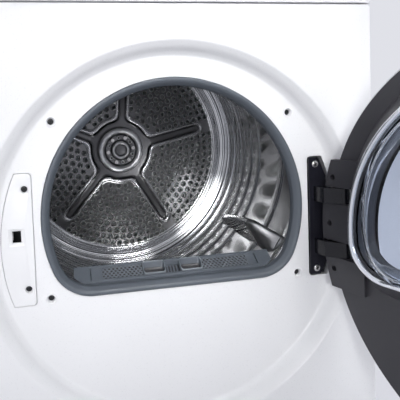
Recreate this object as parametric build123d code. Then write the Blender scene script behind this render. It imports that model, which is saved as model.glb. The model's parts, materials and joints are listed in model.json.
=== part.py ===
from build123d import *
import math
import os

# Free-standing 60 cm clothes dryer with a round side-hung door, shown with the door open.
# Millimetres. +X to the right seen from the front, +Y into the machine, +Z up.
# Origin: on the floor, under the middle of the cabinet.

# ---- driving dimensions --------------------------------------------------------------
CABINET_W = 597.0        # overall width
CABINET_H = 845.0        # floor to worktop
BODY_D = 620.0           # front panel plane to the back
SHEET = 1.2              # cabinet sheet steel
FOOT_H = 14.0            # floor to the underside of the base tray
FRONT = -BODY_D / 2      # y of the front panel plane
BACK = BODY_D / 2
PANEL_LOW = 98.0         # front panel, lower edge
PANEL_HIGH = 716.0       # front panel, upper edge
FASCIA_HIGH = 822.0      # control fascia, upper edge

DRUM_Z = 480.0           # height of the drum axis
DRUM_R = 285.0           # drum shell, outside
DRUM_FRONT = FRONT + 66
DRUM_BACK = FRONT + 586
DISC_R = 248.0           # perforated rear disc, domed towards the front
DISC_Y = FRONT + 560

RECESS_Z = DRUM_Z - 86   # centre of the round dish in the front panel, and of the door
RECESS_R = 272.0
RECESS_FLOOR_R = 254.0
RECESS_DEPTH = 20.0
FLOOR_Y = FRONT + RECESS_DEPTH

MOUTH_R = 193.0          # loading opening: a circle cut off flat at the bottom
MOUTH_RISE = 31.0        # circle centre above the dish centre
MOUTH_DROP = 78.0        # flat edge below the dish centre
MOUTH_CORNER = 60.0

WINDOW_R = 206.0         # chromed ring of the door window, same kind of outline
WINDOW_RISE = 8.0
WINDOW_DROP = 57.0
WINDOW_CORNER = 52.0
BOWL_R = 158.0           # flat end of the glass bowl
BOWL_RISE = 40.0
BOWL_DROP = 38.0
BOWL_CORNER = 44.0

POCKET_X = 203.0         # inner edge of the hinge pocket and of the strip opposite
POCKET_TOP = RECESS_Z + 98
POCKET_LOW = RECESS_Z - 79

HINGE_X = 237.0          # door hinge axis
HINGE_Y = FRONT - 20
DOOR_R = 265.0
DOOR_OPEN = 106.0        # door angle in the stored pose, degrees from closed
PLATE_Y = FRONT + 16.5    # face of the hinge plate
ARM_SPANS = ((RECESS_Z + 33, RECESS_Z + 55), (RECESS_Z - 46, RECESS_Z - 24))
PIN_R = 3.0
RUN_FIT = 0.05           # radial clearance of pins and shafts

MOTOR_X = 205.0          # drive motor axis, parallel to the drum axis
MOTOR_Z = 112.0
PULLEY_R = 12.0
LIFTER_ANGLES = (-35.6, 84.4, 204.4)
LIFTER_START = FRONT + 183
LIFTER_PEAK = FRONT + 225  # the paddle is highest here and falls away to both ends
LIFTER_END = FRONT + 465
BELT_Y = FRONT + 232
BELT_W = 12.0
BELT_T = 2.4
ARM_Y = BELT_Y - 8        # front face of the idler arm
ROLLER_R = 34.0
ROLLER_ANGLE = 35.0      # degrees to each side of the drum's lowest point
KNOB_X = -28.0
CONTROL_Z = 770.0
CLEAR = 0.5              # gap between neighbours that move past each other

parts = {}


# ---- small helpers -------------------------------------------------------------------
def block(x0, x1, y0, y1, z0, z1):
    """Rectangular block between two corners."""
    centre = ((x0 + x1) / 2, (y0 + y1) / 2, (z0 + z1) / 2)
    return Pos(*centre) * Box(abs(x1 - x0), abs(y1 - y0), abs(z1 - z0))


def rod_y(radius, y0, y1, x=0.0, z=0.0):
    """Cylinder along Y."""
    return Pos(x, (y0 + y1) / 2, z) * Rot(X=90) * Cylinder(radius, y1 - y0)


def rod_x(radius, x0, x1, y=0.0, z=0.0):
    """Cylinder along X."""
    return Pos((x0 + x1) / 2, y, z) * Rot(Y=90) * Cylinder(radius, x1 - x0)


def rod_z(radius, z0, z1, x=0.0, y=0.0):
    """Cylinder along Z."""
    return Pos(x, y, (z0 + z1) / 2) * Cylinder(radius, z1 - z0)


def tube_y(outer, inner, y0, y1, x=0.0, z=0.0):
    """Ring along Y."""
    return rod_y(outer, y0, y1, x, z) - rod_y(inner, y0 - 1, y1 + 1, x, z)


def turned(profile, x=0.0, z=0.0):
    """Solid of revolution about an axis along Y. The profile is (radius, y) points."""
    wire = Wire.make_polygon([(r, y, 0) for r, y in profile], close=True)
    solid = revolve(Face(wire), Axis.Y, 360)
    return Pos(x, 0, z) * solid


def d_face(radius, centre, floor, corner, y):
    """Circle cut off flat at the bottom, with rounded corners, on the plane y."""
    drop = centre - (floor + corner)
    side = math.sqrt((radius - corner) ** 2 - drop ** 2)
    reach = radius / (radius - corner)
    right = (side * reach, y, centre - drop * reach)
    low_right = (side, y, floor)
    angle = (math.atan2(drop, side) + math.pi / 2) / 2
    right_mid = (side + corner * math.cos(angle), y, floor + corner - corner * math.sin(angle))
    edges = [
        ThreePointArc((-right[0], y, right[2]), (0, y, centre + radius), right),
        ThreePointArc(right, right_mid, low_right),
        Line(low_right, (-side, y, floor)),
        ThreePointArc((-side, y, floor), (-right_mid[0], y, right_mid[2]), (-right[0], y, right[2])),
    ]
    return Face(Wire(edges))


def mouth(inset, y):
    """Outline of the loading opening on the plane y, moved inwards by inset."""
    return d_face(MOUTH_R - inset, RECESS_Z + MOUTH_RISE, RECESS_Z - MOUTH_DROP + inset,
                  MOUTH_CORNER - inset, y)


def window(inset, y):
    """Outline of the door window's ring, moved inwards by inset."""
    return d_face(WINDOW_R - inset, RECESS_Z + WINDOW_RISE, RECESS_Z - WINDOW_DROP + inset,
                  WINDOW_CORNER - inset, y)


def bowl_end(inset, y):
    """Outline of the flat end of the door's glass bowl, moved inwards by inset."""
    return d_face(BOWL_R - inset, RECESS_Z + BOWL_RISE, RECESS_Z - BOWL_DROP + inset,
                  BOWL_CORNER - inset, y)


def prism(outline, inset, y0, y1):
    """Straight prism of an outline."""
    return extrude(outline(inset, y0), amount=y1 - y0, dir=(0, 1, 0))


def funnel(outline0, inset0, y0, outline1, inset1, y1):
    """Tapered prism between two outlines."""
    return loft([outline0(inset0, y0), outline1(inset1, y1)], ruled=True)


def add(node, *solids):
    """Keep a node's solids."""
    kept = []
    for item in solids:
        kept.extend(item.solids())
    parts[node] = kept


# ---- cabinet -------------------------------------------------------------------------
def front_panel():
    """Front sheet with the round dish, the loading opening and its screw dimples."""
    half = CABINET_W / 2
    sheet = block(-half, half, FRONT, FRONT + 18, PANEL_LOW, PANEL_HIGH)
    sheet = fillet(sheet.edges().filter_by(Axis.Z).group_by(Axis.Y)[0], 4)
    sheet -= block(-half + SHEET, half - SHEET, FRONT + SHEET, FRONT + 20, PANEL_LOW + SHEET,
                   PANEL_HIGH - SHEET)
    dish = [(RECESS_R + 2, FRONT), (RECESS_R - 1, FRONT + 1), (RECESS_R - 8, FRONT + 6),
            (RECESS_FLOOR_R + 5, FRONT + 16), (RECESS_FLOOR_R, FLOOR_Y), (0, FLOOR_Y)]
    back = [(r, y + SHEET) for r, y in reversed(dish)]
    sheet -= rod_y(RECESS_R + 2, FRONT - 5, FRONT + 5, 0, RECESS_Z)
    sheet += turned(dish + back, 0, RECESS_Z)
    sheet -= prism(mouth, 0.6, FRONT - 5, FLOOR_Y + 5)
    for x, z in corner_screw_places():
        sheet -= rod_y(4.2, FRONT, FLOOR_Y + 5, x, z)
    pocket = block(POCKET_X - 2.5, 262, FRONT, FLOOR_Y + 5, POCKET_LOW - 5, POCKET_TOP + 5)
    dish_column = rod_y(RECESS_FLOOR_R - 2, FRONT, FLOOR_Y + 5, 0, RECESS_Z)
    sheet -= pocket & dish_column
    sheet -= (pocket & dish_column).mirror(Plane.YZ)
    add("front_panel", sheet)


def corner_screw_places():
    """Centres of the four screws round the loading opening."""
    places = []
    for x, z in ((173, 167), (183, -75)):
        places += [(-x, RECESS_Z + z), (x, RECESS_Z + z)]
    return places


def side_panels():
    """Side sheets with a return along the front and back edges."""
    half = CABINET_W / 2
    outer = block(half - 14, half, FRONT + 18.5, BACK - 14, 20, FASCIA_HIGH - 1)
    cut = block(half - 15, half - SHEET, FRONT + 18.5 + SHEET, BACK - 14 - SHEET, 10, FASCIA_HIGH + 5)
    right = outer - cut
    add("side_panel_right", right)
    add("side_panel_left", right.mirror(Plane.YZ))


def top_cover():
    """Worktop board."""
    board = block(-CABINET_W / 2, CABINET_W / 2, FRONT, BACK, FASCIA_HIGH + 0.5, CABINET_H)
    add("top_cover", fillet(board.edges().filter_by(Axis.Z) + board.edges().group_by(Axis.Z)[-1], 3))


def rear_panel():
    """Back sheet with the warm air holes and the seat of the drum bearing."""
    y0 = BACK - 12
    sheet = block(-CABINET_W / 2 + 2, CABINET_W / 2 - 2, y0, y0 + 1.5, 20, FASCIA_HIGH - 1)
    seat = tube_y(36, 26, y0 - 12, y0 + 1.5, 0, DRUM_Z)
    sheet = sheet - rod_y(26, y0 - 5, y0 + 5, 0, DRUM_Z) + seat
    for step in range(20):
        angle = math.radians(18 * step)
        sheet -= rod_y(11, y0 - 5, y0 + 5, 165 * math.cos(angle), DRUM_Z + 165 * math.sin(angle))
    sheet -= block(-190, -70, y0 - 5, y0 + 5, 60, 150)
    add("rear_panel", sheet)


def rear_air_duct():
    """Shallow duct on the back that carries warm air up to the drum."""
    y0 = BACK - 10.4
    outer = rod_y(215, y0, BACK, 0, DRUM_Z) + block(-200, -60, y0, BACK, 48, DRUM_Z - 60)
    inner = rod_y(213, y0 - 1, BACK - 1.5, 0, DRUM_Z) + block(-198, -62, y0 - 1, BACK - 1.5, 50, DRUM_Z - 60)
    add("rear_air_duct", outer - inner)


def base_tray():
    """Moulded floor of the machine, with the seats of the four feet and the post of the idler arm."""
    tray = block(-282, 282, FRONT + 20, BACK - 13, FOOT_H, 50)
    tray -= block(-279, 279, FRONT + 23, BACK - 16, FOOT_H + 3, 60)
    for x, y in foot_places():
        tray += rod_z(14, FOOT_H, 44, x, y)
        tray -= rod_z(5.2, FOOT_H - 1, 45, x, y)
    pivot_x, pivot_z = idler_pivot()
    tray += block(pivot_x - 10, pivot_x + 10, ARM_Y + 4.3, ARM_Y + 11, FOOT_H + 1, pivot_z + 10)
    tray += rod_y(5, ARM_Y - 11, ARM_Y + 8, pivot_x, pivot_z)
    add("base_tray", tray)


def foot_places():
    """Centres of the four feet."""
    return [(x, y) for x in (-250, 250) for y in (FRONT + 50, BACK - 50)]


def levelling_feet():
    """Screw-in feet."""
    feet = []
    for x, y in foot_places():
        pad = rod_z(22, 0, 9, x, y)
        pad = chamfer(pad.edges().group_by(Axis.Z)[-1], 2)
        feet.append(pad + rod_z(5, 8, 40, x, y))
    add("levelling_feet", *feet)


def kick_panel():
    """Plinth panel with the service opening."""
    half = CABINET_W / 2
    panel = block(-half, half, FRONT, FRONT + 18, 18, PANEL_LOW - 1)
    panel -= block(-half + 2.5, half - 2.5, FRONT + 2.5, FRONT + 20, 20.5, PANEL_LOW - 3.5)
    panel -= block(-276, -64, FRONT - 5, FRONT + 5, 25, 92)
    add("kick_panel", panel)


def service_flap():
    """Flap in front of the heat exchanger, on a hinge along its lower edge."""
    flap = block(-275, -65, FRONT, FRONT + 2.5, 30.5, 91)
    flap += rod_x(2.45, -275, -65, FRONT + 2.5, 29)
    grip = rod_x(9, -195, -145, FRONT - 4, 82)
    add("service_flap", flap - grip)


# ---- controls ------------------------------------------------------------------------
def control_fascia():
    """Control panel shell with the drawer opening, knob, button and display apertures."""
    half = CABINET_W / 2
    shell = block(-half, half, FRONT - 2, FRONT + 18, PANEL_HIGH + 1, FASCIA_HIGH)
    shell = fillet(shell.edges().filter_by(Axis.Z).group_by(Axis.Y)[0], 4)
    shell -= block(-half + 3, half - 3, FRONT + 1, FRONT + 20, PANEL_HIGH + 4, FASCIA_HIGH - 3)
    shell -= block(-293, -95, FRONT - 5, FRONT + 5, 724, 816)
    shell -= rod_y(8, FRONT - 5, FRONT + 5, KNOB_X, CONTROL_Z)
    for x in button_places():
        shell -= rod_y(9 + CLEAR, FRONT - 5, FRONT + 5, x, CONTROL_Z)
    shell -= block(52, 228, FRONT - 5, FRONT + 5, CONTROL_Z - 26, CONTROL_Z + 26)
    add("control_fascia", shell)


def button_places():
    """X of the two push-buttons."""
    return (28, 262)


def display_window():
    """Dark touch window with a rim that bears on the back of the fascia."""
    window = block(52.3, 227.7, FRONT - 1.2, FRONT + 1, CONTROL_Z - 25.7, CONTROL_Z + 25.7)
    window += block(48, 232, FRONT + 1, FRONT + 3, CONTROL_Z - 30, CONTROL_Z + 30)
    add("display_window", window)


def program_knob():
    """Knurled selector knob on its shaft."""
    knob = rod_y(27, FRONT - 22, FRONT - 3, KNOB_X, CONTROL_Z)
    knob = fillet(knob.edges().group_by(Axis.Y)[0], 2.5)
    for step in range(36):
        angle = math.radians(10 * step)
        x = KNOB_X + 27.4 * math.cos(angle)
        z = CONTROL_Z + 27.4 * math.sin(angle)
        knob -= rod_y(1.1, FRONT - 19, FRONT - 3, x, z)
    knob -= block(KNOB_X - 0.8, KNOB_X + 0.8, FRONT - 23, FRONT - 21.4, CONTROL_Z + 10, CONTROL_Z + 22)
    knob += rod_y(4, FRONT - 4, FRONT + 30, KNOB_X, CONTROL_Z)
    add("program_knob", knob)


def push_buttons():
    """Power and start buttons with their stems."""
    for node, x in zip(("power_button", "start_button"), button_places()):
        cap = rod_y(9, FRONT - 4, FRONT + 3, x, CONTROL_Z)
        cap = fillet(cap.edges().group_by(Axis.Y)[0], 1)
        cap += rod_y(11, FRONT + 3.2, FRONT + 4.5, x, CONTROL_Z) + rod_y(3, FRONT + 3, FRONT + 18, x, CONTROL_Z)
        add(node, cap + rod_y(9, FRONT + 2, FRONT + 4, x, CONTROL_Z))


def water_container():
    """Condensate drawer: handle front and an open-topped tank."""
    front = block(-292, -96, FRONT - 2, FRONT + 3, 725, 815)
    front = fillet(front.edges().filter_by(Axis.Y), 3)
    front += block(-247, -141, FRONT + 2, FRONT + 18, 736, 764)
    front -= block(-245, -143, FRONT - 3, FRONT + 16, 738, 762)
    tank = block(-282, -104, FRONT + 3, FRONT + 420, 768, 812)
    tank -= block(-280, -106, FRONT + 6, FRONT + 418, 770, 820)
    add("water_container", front + tank)


# ---- loading opening -----------------------------------------------------------------
def mouth_ring():
    """Moulded ring round the loading opening: a flat rim and a funnel behind it."""
    ring = prism(mouth, 1.2, FRONT + 17, FRONT + 32)
    ring += prism(mouth, -5, FLOOR_Y + SHEET + 0.3, FRONT + 30)
    ring -= funnel(mouth, 5, FRONT + 16, mouth, 12.5, FRONT + 26)
    ring -= prism(mouth, 12.5, FRONT + 25, FRONT + 40)
    add("mouth_ring", ring)


def front_bulkhead():
    """Plate that closes the front of the drum, with the collar that the drum turns on."""
    plate = block(-280, 280, FRONT + 56, FRONT + 60, 150, 755)
    plate += tube_y(264, 259, FRONT + 59, FRONT + 80, 0, DRUM_Z)
    plate -= prism(mouth, -8, FRONT + 50, FRONT + 90)
    for x, z in roller_places():
        plate -= rod_y(8.05, FRONT + 50, FRONT + 70, x, z)
    add("front_bulkhead", plate)
    add("drum_front_felt", tube_y(269.6, 264, FRONT + 68, FRONT + 80, 0, DRUM_Z))


def roller_places():
    """Centres of the two rollers under the front of the drum."""
    reach = DRUM_R + ROLLER_R + 0.3
    angle = math.radians(ROLLER_ANGLE)
    return [(side * reach * math.sin(angle), DRUM_Z - reach * math.cos(angle)) for side in (-1, 1)]


def rollers():
    """Two rubber-tyred rollers on fixed axles."""
    axles = []
    for node, (x, z) in zip(("drum_roller_left", "drum_roller_right"), roller_places()):
        wheel = tube_y(ROLLER_R, 8 + RUN_FIT, FRONT + 84, FRONT + 104, x, z)
        wheel -= tube_y(ROLLER_R - 9, 16, FRONT + 83, FRONT + 88, x, z)
        wheel -= tube_y(ROLLER_R - 9, 16, FRONT + 100, FRONT + 105, x, z)
        add(node, wheel)
        axles.append(rod_y(8, FRONT + 56, FRONT + 108, x, z) + rod_y(12, FRONT + 60, FRONT + 83, x, z))
    add("roller_axles", *axles)


def filter_housing():
    """Sleeve under the loading opening that the lint filter drops into."""
    sill = extrude(Face(Wire.make_polygon(sill_profile(), close=True)), amount=300, dir=(1, 0, 0))
    sill = (Pos(-150, 0, 0) * sill) & prism(mouth, 13.5, FRONT + 30, FRONT + 56)
    sleeve = block(-134, 134, FRONT + 33, FRONT + 55, RECESS_Z - 240, RECESS_Z - 85)
    sleeve += block(-134, 134, FRONT + 33, FRONT + 55.5, RECESS_Z - 86, RECESS_Z - 62.5)
    shaft = block(-127, 127, FRONT + 35, FRONT + 53, RECESS_Z - 236, RECESS_Z + 5)
    add("filter_housing", (sill + sleeve) - shaft)


def sill_profile():
    """Section of the sloped sill at the bottom of the opening, in the YZ plane."""
    low = RECESS_Z - 72
    return [(0, FRONT + 32.5, low), (0, FRONT + 55.5, low), (0, FRONT + 55.5, RECESS_Z - 46),
            (0, FRONT + 32.5, RECESS_Z - 61.5)]


def lint_filter():
    """Lift-out lint filter: a grille with two finger cups on a flat frame, and its mesh."""
    y0 = FRONT + 35.5
    y1 = FRONT + 52.5
    frame = block(-126, 126, y0 + 4, y1 - 4, RECESS_Z - 232, RECESS_Z - 66)
    frame -= block(-118, 118, y0, y1, RECESS_Z - 222, RECESS_Z - 82)
    add("lint_filter_frame", frame)
    mesh = block(-118, 118, y0 + 7.5, y1 - 7.5, RECESS_Z - 222, RECESS_Z - 82)
    add("lint_filter_mesh", mesh)
    wedge = [(0, y0, RECESS_Z - 66), (0, y1, RECESS_Z - 66), (0, y1, RECESS_Z - 48.5), (0, y0, RECESS_Z - 62)]
    cover = Pos(-126, 0, 0) * extrude(Face(Wire.make_polygon(wedge, close=True)), amount=252, dir=(1, 0, 0))
    cover -= block(-50, 40, y0 - 1, y1 + 1, RECESS_Z - 67, RECESS_Z - 40)
    for x in (-50, 6):
        cover += block(x, x + 34, y0, y1, RECESS_Z - 66, RECESS_Z - 45)
        cover -= block(x + 3, x + 31, y0 + 2, y1 - 2, RECESS_Z - 64, RECESS_Z - 40)
    cover += block(-16, 6, y0 + 3, y1 - 3, RECESS_Z - 66, RECESS_Z - 56)
    add("lint_filter_cover", cover)


def filler_strip():
    """White strip on the latch side, with the bevelled receptacle for the door hook."""
    strip = block(-262, -POCKET_X, FRONT + 17, FLOOR_Y + 3, POCKET_LOW, POCKET_TOP)
    strip &= rod_y(RECESS_FLOOR_R - 10, FRONT, FLOOR_Y + 9, 0, RECESS_Z)
    slot = block(-230, -219, FRONT, FLOOR_Y + 9, RECESS_Z + 6, RECESS_Z + 22)
    bevel = block(-236, -213, FRONT, FRONT + 18.5, RECESS_Z + 1, RECESS_Z + 27)
    strip = strip - slot - bevel
    for z in strip_screw_heights():
        strip -= rod_y(4.2, FRONT, FLOOR_Y + 9, -212, z)
    add("filler_strip", strip)


def strip_screw_heights():
    """Z of the two screws in the filler strip."""
    return (RECESS_Z + 78, RECESS_Z - 58)


def cabinet_screws():
    """Dark screws of the opening surround and the filler strip, and the pan heads of the hinge plate."""
    places = corner_screw_places() + [(-212, z) for z in strip_screw_heights()]
    screws = []
    for x, z in places:
        head = rod_y(4.1, FLOOR_Y - 0.5, FLOOR_Y + 1.5, x, z)
        head -= block(x - 2, x + 2, FLOOR_Y - 1, FLOOR_Y + 0.5, z - 0.5, z + 0.5)
        screws.append(head + rod_y(2, FLOOR_Y + 1, FLOOR_Y + 12, x, z))
    for z in hinge_screw_heights():
        head = rod_y(5, PLATE_Y - 0.5, PLATE_Y + 2.5, POCKET_X + 10, z)
        head -= rod_y(1.8, PLATE_Y - 2, PLATE_Y + 1, POCKET_X + 10, z)
        screws.append(head + rod_y(2, PLATE_Y + 2, PLATE_Y + 18, POCKET_X + 10, z))
    add("cabinet_screws", *screws)


def door_latch():
    """Latch box behind the strip, and its sprung catch on a vertical pin."""
    y0 = FLOOR_Y + 3.5
    box = block(-246, -206, y0, y0 + 28, RECESS_Z - 4, RECESS_Z + 32)
    box -= block(-243, -209, y0 - 1, y0 + 26, RECESS_Z - 1, RECESS_Z + 29)
    box += rod_z(2, RECESS_Z - 2, RECESS_Z + 30, -237, y0 + 20)
    add("latch_case", box)
    catch = rod_z(4, RECESS_Z + 2, RECESS_Z + 26, -237, y0 + 20)
    catch += block(-239, -235, y0 + 2, y0 + 20, RECESS_Z + 9, RECESS_Z + 19)
    catch += block(-237, -229.6, y0 + 2, y0 + 6, RECESS_Z + 9, RECESS_Z + 19)
    add("latch_catch", catch - rod_z(2 + RUN_FIT, RECESS_Z, RECESS_Z + 28, -237, y0 + 20))


# ---- door ----------------------------------------------------------------------------
def hinge_plate():
    """Black plate in the hinge pocket, and its two arms."""
    outline = [(POCKET_X, POCKET_TOP), (POCKET_X + 14, POCKET_TOP), (POCKET_X + 27, POCKET_TOP - 28),
               (POCKET_X + 27, POCKET_LOW + 20), (POCKET_X + 16, POCKET_LOW), (POCKET_X, POCKET_LOW)]
    face = Face(Wire.make_polygon([(x, PLATE_Y, z) for x, z in outline], close=True))
    plate = extrude(face, amount=5.5, dir=(0, 1, 0))
    for z in hinge_screw_heights():
        plate -= rod_y(5.2, PLATE_Y - 1, PLATE_Y + 2.5, POCKET_X + 10, z)
        plate -= rod_y(2.2, PLATE_Y, PLATE_Y + 9, POCKET_X + 10, z)
    add("hinge_plate", plate)
    add("hinge_arms", *[hinge_arm(low, high) for low, high in ARM_SPANS])


def hinge_screw_heights():
    """Z of the two screws in the hinge plate."""
    return (RECESS_Z + 88, RECESS_Z - 70)


def hinge_arm(low, high):
    """Goose-neck arm from the plate to the knuckle on the hinge axis."""
    foot = POCKET_X + 7
    spine = [(foot, PLATE_Y), (foot + 10, PLATE_Y), (foot + 10, PLATE_Y - 8), (HINGE_X, HINGE_Y + 5.5),
             (HINGE_X - 5, HINGE_Y - 3), (foot + 3, HINGE_Y + 14), (foot, PLATE_Y - 6)]
    face = Face(Wire.make_polygon([(x, y, low) for x, y in spine], close=True))
    arm = extrude(face, amount=high - low, dir=(0, 0, 1))
    arm += rod_z(6.5, low, high, HINGE_X, HINGE_Y)
    return arm - rod_z(PIN_R + RUN_FIT, low - 1, high + 1, HINGE_X, HINGE_Y)


def door_frame():
    """Inner door moulding: flat rim, raised land round the window and the hinge side blocks."""
    rim_y = HINGE_Y
    disc = rod_y(DOOR_R - 4.2, rim_y - 4.8, rim_y + 2, 0, RECESS_Z)
    land = funnel(window, -25, rim_y + 1, window, -1, FRONT + 10)
    tab = rod_y(DOOR_R + 6, rim_y - 3, rim_y + 8, 0, RECESS_Z)
    tab &= block(200, 290, rim_y - 3, rim_y + 8, RECESS_Z - 91, RECESS_Z + 96)
    frame = disc + land + tab
    frame -= prism(window, 12, rim_y - 20, FRONT + 40)
    frame -= block(-236.3, -211.7, FRONT - 18, FRONT + 20, RECESS_Z + 1.7, RECESS_Z + 26.3)
    for notch in hinge_notches():
        frame -= notch
    frame -= rod_z(PIN_R, RECESS_Z - 70, RECESS_Z + 80, HINGE_X, HINGE_Y)
    for x, z in door_screw_places():
        frame -= rod_y(4.2, rim_y - 10, FRONT + 20, x, z)
    return frame


def hinge_notches():
    """Spaces in the door that the fixed hinge arms swing through."""
    notches = []
    for low, high in ARM_SPANS:
        column = rod_z(9, low - 1, high + 1, HINGE_X, HINGE_Y)
        column += block(HINGE_X - 32, HINGE_X + 60, HINGE_Y - 9, HINGE_Y + 60, low - 1, high + 1)
        notches.append(column)
    return notches


def door_screw_places():
    """Screw centres round the inner door moulding."""
    places = [(251, RECESS_Z + 70), (258, RECESS_Z + 2), (251, RECESS_Z - 64)]
    for degrees in (62, 90, 118, 150, 180, 210, 242, 270, 298):
        angle = math.radians(degrees)
        places.append((250 * math.cos(angle), RECESS_Z + 250 * math.sin(angle)))
    return places


def door_parts():
    """Every door piece in the closed position, by node name."""
    rim_y = HINGE_Y
    face_y = rim_y - 24
    outside = [(DOOR_R, rim_y - 3.3), (DOOR_R, rim_y - 12), (DOOR_R - 4, rim_y - 18), (DOOR_R - 14, face_y)]
    inside = [(205, face_y), (205, face_y + 6), (DOOR_R - 16, face_y + 6), (DOOR_R - 7, rim_y - 14),
              (DOOR_R - 3, rim_y - 3.3)]
    shell = turned(outside + inside, 0, RECESS_Z)
    grip = block(-262, -248, rim_y - 12, rim_y - 3, RECESS_Z - 60, RECESS_Z + 60)
    shell -= grip & rod_y(261, rim_y - 30, rim_y, 0, RECESS_Z)
    for notch in hinge_notches():
        shell -= notch
    dome = [(0, face_y - 2), (180, face_y - 1.5), (204.7, face_y), (204.7, face_y + 4), (0, face_y + 4)]
    cover = turned(dome, 0, RECESS_Z)
    ring = prism(window, 0, FRONT + 10.1, FRONT + 14.6) - prism(window, 8, FRONT, FRONT + 30)
    ring = fillet(ring.edges().group_by(Axis.Y)[-1], 2.5)
    bowl = prism(window, 12.3, rim_y - 4, FRONT + 12) + prism(window, 8.3, FRONT + 10.3, FRONT + 13)
    bowl += funnel(window, 26, FRONT + 11, bowl_end, 0, FRONT + 48)
    bowl -= prism(window, 15.3, rim_y - 5, FRONT + 10.3)
    bowl -= funnel(window, 29, FRONT + 9, bowl_end, 2.5, FRONT + 45)
    hook = block(-229, -220, FRONT - 14, FLOOR_Y + 14, RECESS_Z + 9, RECESS_Z + 19)
    hook -= block(-230, -224.5, FLOOR_Y + 4, FLOOR_Y + 10, RECESS_Z + 8, RECESS_Z + 20)
    hook += block(-236, -212, FRONT - 17.9, FRONT - 14, RECESS_Z + 2, RECESS_Z + 26)
    pins = []
    for low, high in ARM_SPANS:
        pins.append(rod_z(PIN_R, low - 12, high + 12, HINGE_X, HINGE_Y))
    screws = []
    for x, z in door_screw_places():
        screws.append(rod_y(4.1, rim_y + 0.5, rim_y + 2, x, z) + rod_y(2, rim_y - 3, rim_y + 1, x, z))
    return {"door_frame": [door_frame()], "door_outer_ring": [shell], "door_cover": [cover],
            "door_window_ring": [ring], "door_bowl": [bowl], "door_hook": [hook], "hinge_pins": pins,
            "door_screws": screws}


def door():
    """Swing the closed door about its hinge axis to the stored, open position."""
    swing = Pos(HINGE_X, HINGE_Y, 0) * Rot(Z=DOOR_OPEN) * Pos(-HINGE_X, -HINGE_Y, 0)
    for node, solids in door_parts().items():
        add(node, *[swing * solid for solid in solids])


# ---- drum ----------------------------------------------------------------------------
def drum_shell():
    """Stainless drum wall with its front lip and pressed beads."""
    wall = 1.2
    outer = [(270.0, DRUM_FRONT), (DRUM_R - 4, DRUM_FRONT + 2), (DRUM_R, DRUM_FRONT + 8)]
    for centre in (60, 100, 190, 300, 340, 380, 420, 460):
        for offset, depth in ((-9, 0), (-3, 4), (3, 4), (9, 0)):
            outer.append((DRUM_R - depth, DRUM_FRONT + centre + offset))
    outer.append((DRUM_R, DRUM_BACK))
    inner = [(r - wall, y + (wall if y < DRUM_FRONT + 3 else 0)) for r, y in outer[1:]]
    inner.insert(0, (270.0, DRUM_FRONT + wall))
    add("drum_shell", turned(outer + list(reversed(inner)), 0, DRUM_Z))


def drum_rear():
    """Rear wall of the drum: outer ring, stepped beads and the disc domed to the front."""
    wall = 1.2
    front = [(DRUM_R - 1.3, DRUM_BACK - 8), (DRUM_R - 2.5, DRUM_BACK - 1), (276, DRUM_BACK + 1)]
    front += [(268, DRUM_BACK - 6), (260, DRUM_BACK - 10), (254, DRUM_BACK - 22)]
    front += [(DISC_R, DISC_Y - 2), (DISC_R - 6, DISC_Y), (0, DISC_Y)]
    back = [(r, y + wall + 0.4) for r, y in reversed(front)]
    add("drum_rear", turned(front + back, 0, DRUM_Z) - rod_y(13, DISC_Y - 5, DISC_Y + 5, 0, DRUM_Z))


def hub_and_shaft():
    """Pressed hub with six screws, the stub shaft behind it and its bearing."""
    hub = turned([(0, DISC_Y - 9), (14, DISC_Y - 9), (21, DISC_Y - 11), (24, DISC_Y - 6), (39, DISC_Y - 6),
                  (45, DISC_Y - 12), (51, DISC_Y - 12), (57, DISC_Y - 0.2), (0, DISC_Y - 0.2)], 0, DRUM_Z)
    screws = []
    for step in range(6):
        angle = math.radians(8 + 60 * step)
        x = 32 * math.cos(angle)
        z = DRUM_Z + 32 * math.sin(angle)
        hub -= rod_y(2.6, DISC_Y - 10, DISC_Y, x, z)
        screws.append(rod_y(4.5, DISC_Y - 9, DISC_Y - 6, x, z) + rod_y(2.5, DISC_Y - 7, DISC_Y - 0.3, x, z))
        dark = math.radians(38 + 60 * step)
        hub -= rod_y(2.5, DISC_Y - 10, DISC_Y, 32 * math.cos(dark), DRUM_Z + 32 * math.sin(dark))
    add("drum_hub", hub)
    add("hub_screws", *screws)
    shaft = rod_y(12.9, DISC_Y, DISC_Y + 6, 0, DRUM_Z) + rod_y(40, DISC_Y + 2, DISC_Y + 8, 0, DRUM_Z)
    add("drum_shaft", shaft + rod_y(12, DISC_Y + 5, BACK - 10.5, 0, DRUM_Z))
    add("shaft_bearing", tube_y(26, 12 + RUN_FIT, BACK - 23, BACK - 11, 0, DRUM_Z))


def drum_lifters():
    """Three paddles on the inside of the drum wall: steep at the front, long and low at the back."""
    section = [(283, -21), (258, -9), (234, 3), (229, 8), (230, 14), (240, 18), (283, 21)]
    rise = turned([(228, LIFTER_PEAK - 4), (228, LIFTER_PEAK + 6), (281, LIFTER_END), (290, LIFTER_END),
                   (290, LIFTER_START), (276, LIFTER_START)])
    paddles = []
    for degrees in LIFTER_ANGLES:
        wire = Wire.make_polygon([(r, LIFTER_START, t) for r, t in section], close=True)
        paddle = extrude(Face(wire), amount=LIFTER_END - LIFTER_START, dir=(0, 1, 0))
        paddle = (Rot(Y=-degrees) * paddle) & rise & rod_y(DRUM_R - 5.4, LIFTER_START - 1, LIFTER_END + 1)
        paddles.append(Pos(0, 0, DRUM_Z) * paddle)
    add("drum_lifters", *paddles)


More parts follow.
